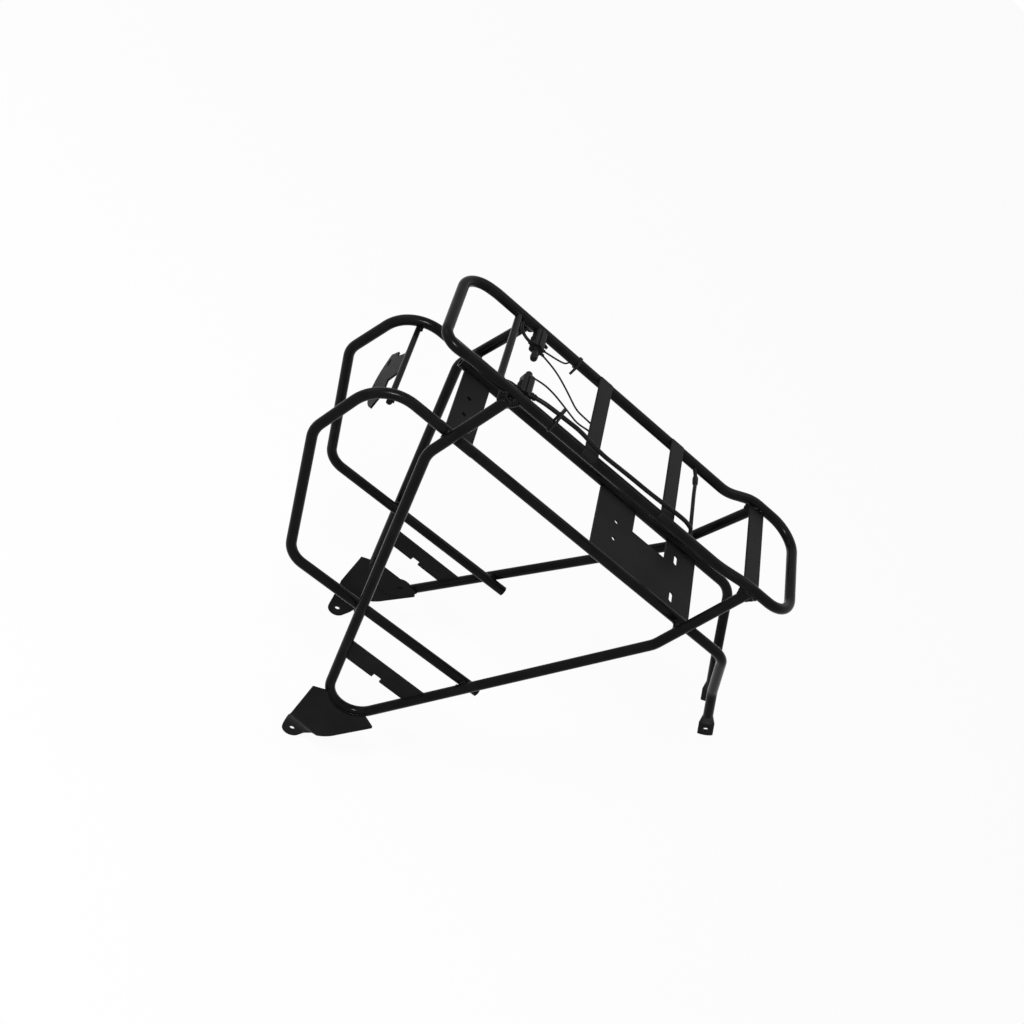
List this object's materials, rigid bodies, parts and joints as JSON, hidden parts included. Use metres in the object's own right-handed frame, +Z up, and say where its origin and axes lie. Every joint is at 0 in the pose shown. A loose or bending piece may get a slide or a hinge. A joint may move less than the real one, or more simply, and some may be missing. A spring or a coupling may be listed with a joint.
{
  "type": "rear luggage rack",
  "caption": "Rear carrier of bent black tube with a deck over a battery bay, side hoops, splayed legs to axle eyelets, a lamp bracket and plug leads.",
  "frame": {"origin": "midway between the two axle eyelets, on the line through both holes", "axes": "+X forward, towards the feet that bolt to the frame's stays; +Y left, along the axle; +Z up, with the deck level"},
  "size_m": [0.5682, 0.2254, 0.5144],
  "materials": {
    "frame_paint": "black powder coat, half gloss",
    "plate_paint": "black powder coat on flat sheet",
    "plug_plastic": "moulded black plastic",
    "cable_sheath": "soft black sheath",
    "tie_plastic": "black nylon"
  },
  "bodies": {
    "root": {"axle_plate_left": "plate_paint", "axle_plate_right": "plate_paint", "cable_tie_left": "tie_plastic", "cable_tie_right": "tie_plastic", "cross_cable": "cable_sheath", "deck_loop": "frame_paint", "deck_rear_rod": "frame_paint", "deck_strip_front": "plate_paint", "deck_strip_mid": "plate_paint", "deck_strip_rear": "plate_paint", "front_plate": "plate_paint", "hoop_left": "frame_paint", "hoop_right": "frame_paint", "lamp_bracket": "plate_paint", "lamp_cable": "cable_sheath", "lamp_rod": "frame_paint", "lead_cross": "cable_sheath", "lead_left": "cable_sheath", "lead_right": "cable_sheath", "leg_left": "frame_paint", "leg_right": "frame_paint", "lower_rail_left": "frame_paint", "lower_rail_right": "frame_paint", "lug_left": "plate_paint", "plug_cap_left": "plug_plastic", "plug_cap_right": "plug_plastic", "plug_left": "plug_plastic", "plug_right": "plug_plastic", "plug_tail_left": "cable_sheath", "plug_tail_right": "cable_sheath", "rear_plate": "plate_paint", "spacer_left": "frame_paint", "spacer_right": "frame_paint", "tie_bar_left": "plate_paint", "tie_bar_right": "plate_paint"}
  },
  "joints": []
}
